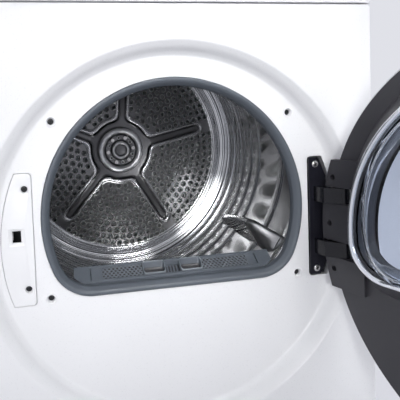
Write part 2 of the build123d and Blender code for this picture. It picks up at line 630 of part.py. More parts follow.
# ---- drive ---------------------------------------------------------------------------
def belt_loop(gap):
    """Belt path round the drum and the motor pulley, moved outwards by gap."""
    big = DRUM_R + gap
    small = PULLEY_R + gap
    dx = MOTOR_X
    dz = MOTOR_Z - DRUM_Z
    length = math.hypot(dx, dz)
    heading = math.atan2(dz, dx)
    lean = math.acos((big - small) / length)
    y = BELT_Y
    ends = []
    for sign in (-1, 1):
        angle = heading + sign * lean
        ends.append(((big * math.cos(angle), y, DRUM_Z + big * math.sin(angle)),
                     (MOTOR_X + small * math.cos(angle), y, MOTOR_Z + small * math.sin(angle))))
    far = (-big * math.cos(heading), y, DRUM_Z - big * math.sin(heading))
    near = (MOTOR_X + small * math.cos(heading), y, MOTOR_Z + small * math.sin(heading))
    edges = [ThreePointArc(ends[0][0], far, ends[1][0]), Line(ends[1][0], ends[1][1]),
             ThreePointArc(ends[1][1], near, ends[0][1]), Line(ends[0][1], ends[0][0])]
    return extrude(Face(Wire(edges)), amount=BELT_W, dir=(0, 1, 0))


def drive():
    """Belt, motor, its shaft with the belt pulley, the fan and the sprung idler."""
    add("drum_belt", belt_loop(0.3 + BELT_T) - belt_loop(0.3))
    motor = rod_y(52, FRONT + 260, FRONT + 400, MOTOR_X, MOTOR_Z)
    motor += block(MOTOR_X - 40, MOTOR_X + 40, FRONT + 270, FRONT + 390, FOOT_H + 3, MOTOR_Z - 40)
    add("drive_motor", motor - rod_y(8.05, FRONT + 250, FRONT + 410, MOTOR_X, MOTOR_Z))
    shaft = rod_y(8, FRONT + 228, FRONT + 474, MOTOR_X, MOTOR_Z)
    shaft += rod_y(PULLEY_R, BELT_Y - 1, BELT_Y + BELT_W + 1, MOTOR_X, MOTOR_Z)
    for y in (BELT_Y - 3, BELT_Y + BELT_W + 1):
        shaft += rod_y(PULLEY_R + 4, y, y + 2, MOTOR_X, MOTOR_Z)
    add("motor_shaft", shaft)
    fan_and_housing()
    idler()


def fan_and_housing():
    """Radial fan wheel on the motor shaft, in its scroll."""
    y0 = FRONT + 424
    wheel = tube_y(60, 8.05, y0 + 44, y0 + 47, MOTOR_X, MOTOR_Z)
    wheel += tube_y(18, 8.05, y0 + 20, y0 + 47, MOTOR_X, MOTOR_Z)
    wheel += tube_y(60, 44, y0 + 6, y0 + 8, MOTOR_X, MOTOR_Z)
    blades = 24
    for step in range(blades):
        blade = block(45, 59, y0 + 7, y0 + 45, -0.8, 0.8)
        wheel += Pos(MOTOR_X, 0, MOTOR_Z) * Rot(Y=360 * step / blades) * blade
    add("fan_wheel", wheel)
    shell = rod_y(72, y0, y0 + 54, MOTOR_X, MOTOR_Z)
    shell += block(MOTOR_X - 90, MOTOR_X, y0, y0 + 54, MOTOR_Z + 22, MOTOR_Z + 72)
    inner = rod_y(70, y0 + 2, y0 + 52, MOTOR_X, MOTOR_Z)
    inner += block(MOTOR_X - 91, MOTOR_X, y0 + 2, y0 + 52, MOTOR_Z + 24, MOTOR_Z + 70)
    shell = shell - inner - rod_y(40, y0 - 1, y0 + 3, MOTOR_X, MOTOR_Z)
    add("fan_housing", shell)


def idler_pivot():
    """Centre of the idler arm's pivot, below the slack run of the belt."""
    wheel_x, wheel_z = idler_wheel_place()
    return wheel_x + 30, wheel_z - 45


def idler():
    """Tension arm with its pulley on the slack run of the belt, and the torsion spring on its post."""
    pivot_x, pivot_z = idler_pivot()
    wheel_x, wheel_z = idler_wheel_place()
    length = math.hypot(wheel_x - pivot_x, wheel_z - pivot_z)
    angle = math.degrees(math.atan2(wheel_z - pivot_z, wheel_x - pivot_x))
    bar = block(0, length, ARM_Y, ARM_Y + 4, -7, 7)
    bar += rod_y(9, ARM_Y, ARM_Y + 4) + rod_y(9, ARM_Y, ARM_Y + 4, length)
    bar -= rod_y(5 + RUN_FIT, ARM_Y - 1, ARM_Y + 5)
    bar += rod_y(4, ARM_Y, BELT_Y + BELT_W + 4, length)
    add("idler_arm", Pos(pivot_x, 0, pivot_z) * Rot(Y=-angle) * bar)
    add("idler_pulley", tube_y(16, 4 + RUN_FIT, BELT_Y - 1, BELT_Y + BELT_W + 1, wheel_x, wheel_z))
    coils = [Pos(pivot_x, ARM_Y - 3 - 2.2 * turn, pivot_z) * Rot(X=90) * Torus(7.5, 1.25) for turn in range(4)]
    spring = coils[0]
    for coil in coils[1:]:
        spring += coil
    spring += rod_z(1.2, FOOT_H + 3, pivot_z, pivot_x + 7.5, ARM_Y - 9.6)
    add("idler_spring", spring)


def idler_wheel_place():
    """Centre of the idler pulley, just clear of the outside of the belt's left run."""
    big = DRUM_R + 0.3 + BELT_T
    small = PULLEY_R + 0.3 + BELT_T
    dx = MOTOR_X
    dz = MOTOR_Z - DRUM_Z
    heading = math.atan2(dz, dx)
    angle = heading - math.acos((big - small) / math.hypot(dx, dz))
    along = 0.7
    x = MOTOR_X * along + (big * (1 - along) + small * along + 16.3) * math.cos(angle)
    z = DRUM_Z + dz * along + (big * (1 - along) + small * along + 16.3) * math.sin(angle)
    return x, z


# ---- heat pump -----------------------------------------------------------------------
def finned_block(y0, y1):
    """Heat exchanger: end plates, cooling fins and the tubes through them."""
    x0, x1, z0, z1 = -262, -58, 56, 168
    block_solid = block(x0, x0 + 2, y0, y1, z0, z1) + block(x1 - 2, x1, y0, y1, z0, z1)
    fins = 17
    for step in range(1, fins):
        x = x0 + (x1 - x0) * step / fins
        block_solid += block(x, x + 1, y0, y1, z0 + 2, z1 - 2)
    for z in (z0 + 20, (z0 + z1) / 2, z1 - 20):
        for y in (y0 + 20, y1 - 20):
            block_solid += rod_x(5, x0 - 6, x1 + 6, y, z)
    return block_solid


def heat_pump():
    """Evaporator, condenser, compressor, refrigerant tubes, pump and air channel."""
    add("evaporator", finned_block(FRONT + 90, FRONT + 190))
    add("condenser", finned_block(FRONT + 220, FRONT + 350))
    shell = rod_z(58, FOOT_H + 18, 168, 28, FRONT + 420)
    shell = fillet(shell.edges(), 16)
    for degrees in (30, 150, 270):
        angle = math.radians(degrees)
        shell += rod_z(9, FOOT_H + 3, 52, 28 + 58 * math.cos(angle), FRONT + 420 + 58 * math.sin(angle))
    add("compressor", shell)
    tubes = []
    for y, x in ((FRONT + 170, -8), (FRONT + 330, 12)):
        tubes.append(refrigerant_tube(y, x))
    add("refrigerant_tubes", *tubes)
    pump = rod_z(24, FOOT_H + 3, 72, -20, FRONT + 70)
    pump += block(-60, -24, FRONT + 60, FRONT + 80, FOOT_H + 3, 40)
    pump += rod_z(14, 70, 92, -20, FRONT + 70) + rod_x(5, 0, 24, FRONT + 70, 60)
    add("condensate_pump", pump)


def refrigerant_tube(y, x):
    """Copper tube from a heat exchanger to the compressor: two straight runs and a bend."""
    z = 148
    run = rod_x(4, -51.5, x, y, z) + Pos(x, y, z) * Sphere(4)
    return run + rod_y(4, y, FRONT + 368, x, z)


# ---- build ---------------------------------------------------------------------------
def build():
    """Make every node."""
    front_panel()
    side_panels()
    top_cover()
    rear_panel()
    rear_air_duct()
    base_tray()
    levelling_feet()
    kick_panel()
    service_flap()
    control_fascia()
    display_window()
    program_knob()
    push_buttons()
    water_container()
    mouth_ring()
    front_bulkhead()
    rollers()
    filter_housing()
    lint_filter()
    filler_strip()
    cabinet_screws()
    door_latch()
    hinge_plate()
    door()
    drum_shell()
    drum_rear()
    hub_and_shaft()
    drum_lifters()
    drive()
    heat_pump()


build()
os.makedirs("parts", exist_ok=True)
for node, solids in parts.items():
    shape = solids[0] if len(solids) == 1 else Compound(children=solids)
    export_step(shape, f"parts/{node}.step")
print(len(parts), "nodes")
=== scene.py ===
import json
import math

import bmesh
import bpy
import numpy as np
from mathutils import Matrix, Vector


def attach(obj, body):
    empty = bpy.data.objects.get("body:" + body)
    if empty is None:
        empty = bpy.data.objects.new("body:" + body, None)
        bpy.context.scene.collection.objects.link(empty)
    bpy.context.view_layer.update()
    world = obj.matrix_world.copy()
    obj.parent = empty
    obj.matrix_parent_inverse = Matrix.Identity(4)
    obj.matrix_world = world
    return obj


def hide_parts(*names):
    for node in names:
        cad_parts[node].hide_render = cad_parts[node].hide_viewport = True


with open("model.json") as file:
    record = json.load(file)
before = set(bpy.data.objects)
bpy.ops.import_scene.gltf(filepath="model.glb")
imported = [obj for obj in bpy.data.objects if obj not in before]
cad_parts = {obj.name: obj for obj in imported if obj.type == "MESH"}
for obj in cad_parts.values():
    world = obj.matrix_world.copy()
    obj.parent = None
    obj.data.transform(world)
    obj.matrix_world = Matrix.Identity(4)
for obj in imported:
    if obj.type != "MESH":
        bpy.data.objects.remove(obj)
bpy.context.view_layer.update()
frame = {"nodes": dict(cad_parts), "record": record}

# Clothes dryer with its door open. Shapes are given in millimetres, in the frame of the CAD
# model: +X right, +Y into the machine, +Z up, origin on the floor. Lights, camera and the
# distances in materials are in metres. Angles about the drum axis run from +X towards +Z.
NODES = frame["nodes"]
MM = 0.001               # metres in a millimetre
ROUND_STEPS = 160        # steps round the dish and the drum
FRONT = -310.0           # front panel plane
DRUM_Z = 480.0           # height of the drum axis
DRUM_R = 283.8           # inside of the drum wall
DISC_Y = FRONT + 560     # drum rear disc
DISH_Z = DRUM_Z - 86     # centre of the dish and of the closed door
DISH_RIM = 276.5         # radius of the dish in the front panel plane
DISH_R = 248.5           # radius of the bottom of the dish
FLOOR_Y = FRONT + 20     # bottom of the dish
HINGE_X = 237.0          # axis of the door's hinge
HINGE_Y = FRONT - 20
DOOR_OPEN = math.radians(106)
STAR_ANGLES = [math.radians(13 + 72 * k) for k in range(5)]
STAR_HUB = 77.0          # radius of the round recess in the middle of the pressed star
STAR_REACH = 204         # length of its arms
STAR_ARM = 12.5          # half the width of an arm
LIFTER_DEGREES = (-35.6, 84.4, 204.4)
STRIP_SCREWS = [(-212, DISH_Z + 78), (-212, DISH_Z - 58)]


# ---- shapes --------------------------------------------------------------------------
class Shape:
    """Points in millimetres and faces of one piece, with a material number per face."""

    def __init__(self):
        self.points = []
        self.faces = []
        self.marks = []

    def add(self, points, faces, mark=0):
        base = len(self.points)
        self.points.extend(points)
        self.faces.extend([tuple(base + i for i in face) for face in faces])
        self.marks.extend([mark] * len(faces))

    def loft(self, loops, mark=0, closed=True, cap_first=False, cap_last=False):
        """Skin over loops of equal length."""
        count = len(loops[0])
        points = [p for loop in loops for p in loop]
        faces = []
        span = count if closed else count - 1
        for row in range(len(loops) - 1):
            for i in range(span):
                j = (i + 1) % count
                a = row * count
                faces.append((a + i, a + j, a + count + j, a + count + i))
        if cap_first:
            faces.append(tuple(range(count - 1, -1, -1)))
        if cap_last:
            last = (len(loops) - 1) * count
            faces.append(tuple(range(last, last + count)))
        self.add(points, faces, mark)

    def turned(self, profile, x, z, steps, mark=0):
        """Surface of revolution about an axis along Y. The profile is (radius, y) points."""
        loops = []
        for r, y in profile:
            loops.append([(x + r * math.cos(2 * math.pi * k / steps), y,
                           z + r * math.sin(2 * math.pi * k / steps)) for k in range(steps)])
        self.loft(loops, mark)

    def flat(self, y, outer, holes):
        """Flat region on the plane y between an outline and holes, all (x, z) points."""
        work = bmesh.new()
        edges = []
        for ring in (outer, *holes):
            verts = [work.verts.new((x, 0, z)) for x, z in ring]
            edges += [work.edges.new((verts[i - 1], verts[i])) for i in range(len(verts))]
        bmesh.ops.triangle_fill(work, use_beauty=True, edges=edges, normal=(0, -1, 0))
        work.verts.index_update()
        points = [(v.co.x, y, v.co.z) for v in work.verts]
        self.add(points, [tuple(v.index for v in face.verts) for face in work.faces])
        work.free()

    def move(self, matrix):
        """Apply a matrix, given in millimetres, to every point."""
        self.points = [tuple(matrix @ Vector(p)) for p in self.points]


def softened(line, radius, steps=4, closed=False):
    """Polyline with its corners rounded."""
    out = []
    count = len(line)
    for i, point in enumerate(line):
        if not closed and i in (0, count - 1):
            out.append(tuple(point))
            continue
        here = Vector(point)
        before = Vector(line[i - 1]) - here
        after = Vector(line[(i + 1) % count]) - here
        cut = min(radius, before.length * 0.48, after.length * 0.48)
        a = here + before.normalized() * cut
        b = here + after.normalized() * cut
        for k in range(steps + 1):
            t = k / steps
            out.append(tuple(a * (1 - t) ** 2 + here * (2 * t * (1 - t)) + b * t ** 2))
    return out


def circle(x, z, r, steps=32):
    """Points of a circle in the XZ plane."""
    return [(x + r * math.cos(2 * math.pi * k / steps), z + r * math.sin(2 * math.pi * k / steps))
            for k in range(steps)]


def d_outline(radius, centre, floor, corner):
    """Circle cut off flat at the bottom with rounded corners: always the same number of points."""
    arc_steps = 48
    corner_steps = 16
    floor_steps = 12
    drop = centre - (floor + corner)
    side = math.sqrt((radius - corner) ** 2 - drop ** 2)
    low = -math.atan2(drop, side)
    right = []
    for k in range(arc_steps + 1):
        angle = math.pi / 2 + (low - math.pi / 2) * k / arc_steps
        right.append((radius * math.cos(angle), centre + radius * math.sin(angle)))
    for k in range(1, corner_steps + 1):
        angle = low + (-math.pi / 2 - low) * k / corner_steps
        right.append((side + corner * math.cos(angle), floor + corner + corner * math.sin(angle)))
    for k in range(1, floor_steps + 1):
        right.append((side * (1 - k / floor_steps), floor))
    left = [(-x, z) for x, z in reversed(right[1:-1])]
    return right + left


def mouth(inset):
    """Outline of the loading opening."""
    return d_outline(193 - inset, DISH_Z + 31, DISH_Z - 78 + inset, 60 - inset)


def window(inset):
    """Outline of the door window's ring."""
    return d_outline(206 - inset, DISH_Z + 8, DISH_Z - 57 + inset, 52 - inset)


def bowl_end(inset):
    """Outline of the flat end of the glass bowl."""
    return d_outline(158 - inset, DISH_Z + 40, DISH_Z - 38 + inset, 44 - inset)


def between(a, b, t):
    """Outline part of the way from one to another."""
    return [(p[0] * (1 - t) + q[0] * t, p[1] * (1 - t) + q[1] * t) for p, q in zip(a, b)]


def at(outline, y):
    """Outline on the plane y."""
    return [(x, y, z) for x, z in outline]


def rounded_box_outline(x0, x1, z0, z1, radius, steps=6):
    """Rectangle with rounded corners."""
    return softened([(x0, z0), (x1, z0), (x1, z1), (x0, z1)], radius, steps, closed=True)


# ---- materials -----------------------------------------------------------------------
class Nodes:
    """Small helper round a material's node tree."""

    def __init__(self, name):
        self.material = bpy.data.materials.new(name)
        self.material.use_nodes = True
        self.tree = self.material.node_tree
        self.shader = self.tree.nodes["Principled BSDF"]

    def new(self, kind, **values):
        """New node, with values for its sockets or its own settings."""
        node = self.tree.nodes.new(kind)
        for key, value in values.items():
            if key in node.inputs:
                node.inputs[key].default_value = value
            else:
                setattr(node, key, value)
        return node

    def link(self, source, target):
        self.tree.links.new(source, target)

    def position(self):
        """Object coordinates."""
        return self.new("ShaderNodeTexCoord").outputs["Object"]

    def noise(self, scale, detail=3.0, roughness=0.5):
        node = self.new("ShaderNodeTexNoise", Scale=scale, Detail=detail, Roughness=roughness)
        self.link(self.position(), node.inputs["Vector"])
        return node.outputs["Fac"]

    def ramp(self, source, low, high, start=0.3, end=0.7):
        """Map a value between two greys or colours."""
        node = self.new("ShaderNodeValToRGB")
        node.color_ramp.elements[0].position = start
        node.color_ramp.elements[1].position = end
        node.color_ramp.elements[0].color = low
        node.color_ramp.elements[1].color = high
        self.link(source, node.inputs["Fac"])
        return node.outputs["Color"]

    def bump(self, source, strength, distance, normal=None):
        node = self.new("ShaderNodeBump", Strength=strength, Distance=distance)
        self.link(source, node.inputs["Height"])
        if normal is not None:
            self.link(normal, node.inputs["Normal"])
        return node.outputs["Normal"]

    def edge(self, radius):
        """Rounded look for edges."""
        node = self.new("ShaderNodeBevel", samples=4, Radius=radius)
        return node.outputs["Normal"]


def grey(value):
    """Grey of one value, as a colour."""
    return (value, value, value, 1.0)


def shade(colour, factor):
    """Colour made lighter or darker, never above white."""
    return tuple(min(1.0, c * factor) for c in colour) + (1.0,)


def finish(name, colour, rough, metallic=0.0, tone=0.05, tone_scale=9.0, grain=0.12, grain_scale=700.0,
           rough_span=0.06, coat=0.0, edge=0.0006, specular=0.5):
    """General procedural finish: slight tone drift, fine grain in bump and roughness, soft edges."""
    n = Nodes(name)
    low, high = shade(colour, 1 - tone), shade(colour, 1 + tone)
    n.link(n.ramp(n.noise(tone_scale, 4.0), low, high), n.shader.inputs["Base Color"])
    fine = n.noise(grain_scale, 2.0)
    n.link(n.ramp(fine, grey(max(0.02, rough - rough_span)), grey(rough + rough_span)),
           n.shader.inputs["Roughness"])
    normal = n.edge(edge) if edge else None
    n.link(n.bump(fine, grain, 0.0004, normal), n.shader.inputs["Normal"])
    n.shader.inputs["Metallic"].default_value = metallic
    n.shader.inputs["Specular IOR Level"].default_value = specular
    n.shader.inputs["Coat Weight"].default_value = coat
    n.shader.inputs["Coat Roughness"].default_value = 0.08
    return n.material


def steel_material(name, colour, rough, grain=0.0):
    """Polished rolled steel: faint cloudy polish marks, and a fine draw grain where it is brushed."""
    n = Nodes(name)
    smudge = n.noise(9.0, 4.0)
    n.link(n.ramp(smudge, shade(colour, 0.95), shade(colour, 1.04)), n.shader.inputs["Base Color"])
    n.link(n.ramp(smudge, grey(rough * 0.93), grey(rough * 1.08)), n.shader.inputs["Roughness"])
    if grain:
        n.link(n.bump(n.noise(1500.0, 2.0), grain, 0.0001), n.shader.inputs["Normal"])
    n.shader.inputs["Metallic"].default_value = 1.0
    return n.material


def depth_shaded_steel_material(name, top, bottom, rough):
    """Pressed sheet coloured by depth: parts raised towards the front get a painted highlight, recesses get
    a painted shade and stay dull.
    """
    n = Nodes(name)
    parts = n.new("ShaderNodeSeparateXYZ")
    n.link(n.position(), parts.inputs["Vector"])
    depth = n.new("ShaderNodeMapRange")
    depth.inputs["From Min"].default_value = top * MM
    depth.inputs["From Max"].default_value = bottom * MM
    n.link(parts.outputs["Y"], depth.inputs["Value"])
    tone = n.new("ShaderNodeMath", operation="MULTIPLY_ADD")
    n.link(n.noise(14.0, 4.0), tone.inputs[0])
    tone.inputs[1].default_value = 0.25
    n.link(depth.outputs["Result"], tone.inputs[2])
    # Painted highlight for raised parts and painted shade for recesses, blended by depth with some noise.
    bright, dark = (0.90, 0.90, 0.91, 1), (0.18, 0.18, 0.185, 1)
    n.link(n.ramp(tone.outputs[0], bright, dark, 0.1, 1.1), n.shader.inputs["Base Color"])
    n.link(n.ramp(tone.outputs[0], grey(rough), grey(0.32), 0.1, 1.1), n.shader.inputs["Roughness"])
    n.shader.inputs["Metallic"].default_value = 1.0
    return n.material


def galvanised_material():
    """Zinc-coated sheet with its flaky crystal pattern."""
    n = Nodes("galvanised_steel")
    cells = n.new("ShaderNodeTexVoronoi", Scale=90.0)
    n.link(n.position(), cells.inputs["Vector"])
    dark, bright = (0.50, 0.515, 0.53, 1), (0.60, 0.615, 0.63, 1)
    n.link(n.ramp(cells.outputs["Color"], dark, bright, 0.1, 0.9), n.shader.inputs["Base Color"])
    n.link(n.ramp(cells.outputs["Color"], grey(0.38), grey(0.46)), n.shader.inputs["Roughness"])
    n.link(n.bump(n.noise(500.0), 0.1, 0.0003, n.edge(0.0006)), n.shader.inputs["Normal"])
    n.shader.inputs["Metallic"].default_value = 0.9
    return n.material


def glass_material(name, colour, rough=0.02, ior=1.46):
    """Moulded glass or clear plastic with very slight waviness."""
    n = Nodes(name)
    n.link(n.ramp(n.noise(6.0), shade(colour, 0.97), shade(colour, 1.02)), n.shader.inputs["Base Color"])
    n.link(n.bump(n.noise(18.0, 2.0), 0.02, 0.001), n.shader.inputs["Normal"])
    n.shader.inputs["Roughness"].default_value = rough
    n.shader.inputs["IOR"].default_value = ior
    n.shader.inputs["Transmission Weight"].default_value = 1.0
    return n.material


def felt_material(name, colour):
    """Pressed fibre: rough, fuzzy, with clumps."""
    n = Nodes(name)
    fibres = n.noise(1500.0, 6.0, 0.7)
    n.link(n.ramp(fibres, shade(colour, 0.6), shade(colour, 1.4)), n.shader.inputs["Base Color"])
    n.link(n.bump(fibres, 0.6, 0.0008), n.shader.inputs["Normal"])
    n.shader.inputs["Roughness"].default_value = 0.95
    n.shader.inputs["Sheen Weight"].default_value = 0.4
    return n.material


def mesh_material():
    """Fine woven screen: two crossed sets of threads."""
    n = Nodes("mesh_screen")
    threads = []
    for direction in ("X", "Z"):
        wave = n.new("ShaderNodeTexWave", Scale=420.0, bands_direction=direction)
        n.link(n.position(), wave.inputs["Vector"])
        threads.append(wave.outputs["Fac"])
    both = n.new("ShaderNodeMath", operation="MAXIMUM")
    n.link(threads[0], both.inputs[0])
    n.link(threads[1], both.inputs[1])
    dark, bright = (0.03, 0.03, 0.035, 1), (0.35, 0.37, 0.40, 1)
    n.link(n.ramp(both.outputs[0], dark, bright), n.shader.inputs["Base Color"])
    n.link(n.bump(both.outputs[0], 0.5, 0.0005), n.shader.inputs["Normal"])
    n.shader.inputs["Roughness"].default_value = 0.6
    return n.material


MATERIALS = {
    "white_enamel": finish("white_enamel", (0.80, 0.802, 0.808), 0.32, tone=0.012, grain=0.05,
                           grain_scale=420.0, coat=0.25, edge=0.0012),
    "white_plastic": finish("white_plastic", (0.79, 0.792, 0.798), 0.38, tone=0.015, grain=0.10,
                            grain_scale=1200.0, edge=0.0008),
    "galvanised": galvanised_material(),
    "stainless": steel_material("drum_steel", (0.76, 0.765, 0.775), 0.06),
    "satin_steel": steel_material("paddle_steel", (0.78, 0.785, 0.795), 0.42, 0.03),
    # Lighter copy of the drum steel: painted highlight on the drum's hole rims and the hub's screw heads.
    "painted_highlight_steel": steel_material("painted_highlight_rims", (0.95, 0.955, 0.96), 0.55, 0.03),
    # These two are coloured by depth: painted highlight on the raised parts, painted shade in the recesses.
    "disc_steel": depth_shaded_steel_material("drum_disc_steel", DISC_Y - 2.6, DISC_Y + 0.6, 0.20),
    "hub_steel": depth_shaded_steel_material("drum_hub_steel", DISC_Y - 9, DISC_Y - 3.4, 0.34),
    "screw_steel": finish("screw_steel", (0.62, 0.61, 0.60), 0.28, 1.0, tone=0.06, grain=0.06, edge=0.0004),
    "slate_plastic": finish("slate_plastic", (0.090, 0.104, 0.122), 0.42, tone=0.07, grain=0.18,
                            grain_scale=1400.0, edge=0.0006),
    "charcoal_plastic": finish("charcoal_plastic", (0.038, 0.037, 0.043), 0.42, tone=0.10, grain=0.22,
                               grain_scale=1500.0, edge=0.0006),
    "black_plastic": finish("black_plastic", (0.014, 0.014, 0.017), 0.36, tone=0.12, grain=0.16,
                            grain_scale=1300.0, edge=0.0006),
    "navy_paint": finish("navy_paint", (0.008, 0.008, 0.013), 0.36, tone=0.08, grain=0.08, edge=0.0008,
                         specular=0.35),
    "chromed": finish("chromed_ring", (0.80, 0.82, 0.86), 0.10, 1.0, tone=0.02, grain=0.01,
                      rough_span=0.03, edge=0.0),
    "clear_bowl": glass_material("clear_bowl_glass", (0.90, 0.93, 0.97), ior=1.2),
    "dark_glass": glass_material("tinted_cover", (0.66, 0.71, 0.80), 0.04),
    "felt": felt_material("felt_ring", (0.30, 0.29, 0.27)),
    "rubber": finish("rubber", (0.020, 0.020, 0.022), 0.72, tone=0.15, grain=0.35, grain_scale=900.0),
    "mesh_fabric": mesh_material(),
    "motor_casting": finish("cast_aluminium", (0.42, 0.43, 0.44), 0.48, 0.85, tone=0.08, grain=0.35,
                            grain_scale=500.0),
    "copper_brown": finish("copper_tube", (0.66, 0.33, 0.19), 0.28, 1.0, tone=0.16, tone_scale=40.0),
    "black_steel": finish("black_lacquer", (0.016, 0.016, 0.018), 0.30, tone=0.10, coat=0.3),
    "worktop_board": finish("worktop_board", (0.80, 0.805, 0.82), 0.40, tone=0.015, grain=0.25,
                            grain_scale=1600.0, edge=0.0012),
    "grey_plastic": finish("grey_plastic", (0.20, 0.21, 0.22), 0.46, tone=0.08, grain=0.20,
                           grain_scale=1300.0),
    "arm_lacquer": finish("arm_lacquer", (0.006, 0.006, 0.009), 0.22, tone=0.1, grain=0.05, edge=0.001,
                          specular=0.4),
    # Near-black: painted shade in the drum's hole bores, the screw recesses and the hub's dimples; also the
    # finish of the door screws.
    "deep_black": finish("deep_black", (0.006, 0.006, 0.007), 0.5, tone=0.2, grain=0.2),
    # Lighter slate: painted highlight on the finger cups' rims.
    "painted_highlight_slate": finish("painted_highlight_slate", (0.16, 0.18, 0.20), 0.40, tone=0.07, grain=0.18,
                          grain_scale=1400.0),
}

# Carried-over nodes whose look differs from the rest of their slot.
FINISHES = {"hinge_arms": "arm_lacquer", "door_screws": "deep_black"}


# ---- pieces --------------------------------------------------------------------------
def piece(name, shape, body, slot, *nodes, materials=None, angle=35):
    """Make the shape an object that rides on a body and stands for CAD nodes."""
    mesh = bpy.data.meshes.new(name)
    mesh.from_pydata([Vector(p) * MM for p in shape.points], [], shape.faces)
    for key in materials or [slot]:
        mesh.materials.append(MATERIALS[key])
    mesh.polygons.foreach_set("material_index", shape.marks)
    work = bmesh.new()
    work.from_mesh(mesh)
    bmesh.ops.remove_doubles(work, verts=work.verts, dist=0.005 * MM)
    bmesh.ops.dissolve_degenerate(work, edges=work.edges, dist=0.001 * MM)
    bmesh.ops.recalc_face_normals(work, faces=work.faces)
    work.to_mesh(mesh)
    work.free()
    mesh.shade_smooth()
    mesh.set_sharp_from_angle(angle=math.radians(angle))
    obj = bpy.data.objects.new(name, mesh)
    bpy.context.scene.collection.objects.link(obj)
    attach(obj, body)
    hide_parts(*nodes)


def front_panel():
    """White front sheet: rolled edges, soft round dish, hinge and latch pockets, screw dimples."""
    shape = Shape()
    loops = []
    for inset, y in ((0, 18), (0, 3.6), (0.3, 2.1), (1.0, 1.0), (2.1, 0.3), (3.6, 0)):
        loops.append(at(panel_outline(inset), FRONT + y))
    shape.loft(loops)
    shape.flat(FRONT, panel_outline(3.6), [circle(0, DISH_Z, DISH_RIM, ROUND_STEPS)])
    wall = softened([(DISH_RIM, FRONT), (272.5, FRONT + 0.3), (264, FRONT + 7), (258.5, FRONT + 15),
                     (253, FRONT + 19.6), (DISH_R, FLOOR_Y)], 5, 6)
    shape.turned(wall, 0, DISH_Z, ROUND_STEPS)
    opening = mouth(0.6)
    pockets = [pocket_outline(side) for side in (1, -1)]
    dimple_r = 7.9
    dimples = [circle(x, z, dimple_r) for x, z in corner_screws()]
    shape.flat(FLOOR_Y, circle(0, DISH_Z, DISH_R, ROUND_STEPS), [opening, *pockets, *dimples])
    for outline in pockets:
        shape.loft([at(outline, FLOOR_Y), at(grown(outline, 0.4), FLOOR_Y + 0.5),
                    at(grown(outline, 0.4), FLOOR_Y + 9)])
    shape.loft([at(opening, FLOOR_Y), at(opening, FLOOR_Y + 2)])
    for x, z in corner_screws():
        bowl = [(dimple_r, FLOOR_Y), (7.0, FLOOR_Y - 0.8), (5.9, FLOOR_Y - 0.7), (4.9, FLOOR_Y + 0.9),
                (4.3, FLOOR_Y + 2.2), (4.2, FLOOR_Y + 5)]
        shape.turned(softened(bowl, 0.8, 3), x, z, 32)
    piece("front_sheet", shape, "cabinet", "white_enamel", "front_panel")


def panel_outline(inset):
    """Outline of the front sheet."""
    return rounded_box_outline(-298.5 + inset, 298.5 - inset, 98 + inset, 716 - inset, 5)


def grown(outline, amount):
    """Outline moved away from its middle."""
    cx = sum(p[0] for p in outline) / len(outline)
    cz = sum(p[1] for p in outline) / len(outline)
    out = []
    for x, z in outline:
        length = math.hypot(x - cx, z - cz)
        out.append((x + (x - cx) / length * amount, z + (z - cz) / length * amount))
    return out


def pocket_outline(side):
    """Opening for the hinge plate (side 1) or behind the latch strip (side -1)."""
    outline = d_segment(246.0, 202.0, -81.5, 99.5, 16, 6)
    return [(side * x, z) for x, z in outline]


def d_segment(radius, inner_x, low, high, steps, corner):
    """Outline between the dish's edge on the right and a straight inner side with rounded corners."""
    outer = []
    for k in range(steps + 1):
        z = low + (high - low) * k / steps
        outer.append((math.sqrt(radius ** 2 - z * z), DISH_Z + z))
    inner = [outer[-1], (inner_x, DISH_Z + high), (inner_x, DISH_Z + low), outer[0]]
    return outer[1:-1] + softened(inner, corner, 5)


def surround_screws():
    """Dark recessed screws of the surround and strip, and the bright pan heads of the hinge plate."""
    shape = Shape()
    dark = [(x, z, FLOOR_Y + 4.5) for x, z in corner_screws()]
    dark += [(x, z, FRONT + 21.5) for x, z in STRIP_SCREWS]
    for x, z, y in dark:
        screw_head(shape, x, z, y, r=4.1, dome=0.7, mark=0)
    for z in (DISH_Z + 88, DISH_Z - 70):
        screw_head(shape, 213, z, FRONT + 15.2, r=5.0, dome=1.6, mark=1)
    piece("surround_screw_set", shape, "cabinet", "screw_steel", "cabinet_screws",
          materials=["black_plastic", "screw_steel", "deep_black"])


def screw_head(shape, x, z, y, r, dome, mark):
    """Domed head at y, towards the front, with a cross recess drawn as thin slabs in the piece's third
    material, near-black as a painted shade.
    """
    profile = [(r, y + 2.2), (r, y + dome), (r * 0.93, y + dome * 0.45), (r * 0.7, y + dome * 0.12),
               (r * 0.4, y), (0.01, y)]
    shape.turned(profile, x, z, 28, mark)
    # Cross recess: two thin near-black slabs on the head, a painted shade.
    tilt = 0.35
    for turn in (tilt, tilt + math.pi / 2):
        c, s = math.cos(turn), math.sin(turn)
        long, wide = r * 0.55, r * 0.14
        corners = [(-long, -wide), (long, -wide), (long, wide), (-long, wide)]
        loops = []
        for depth in (-0.12, 0.3):
            loops.append([(x + u * c - v * s, y + depth, z + u * s + v * c) for u, v in corners])
        shape.loft(loops, mark=2, cap_first=True, cap_last=True)


def corner_screws():
    """Places of the four screws round the loading opening."""
    return [(s * x, DISH_Z + z) for x, z in ((173, 167), (183, -75)) for s in (-1, 1)]


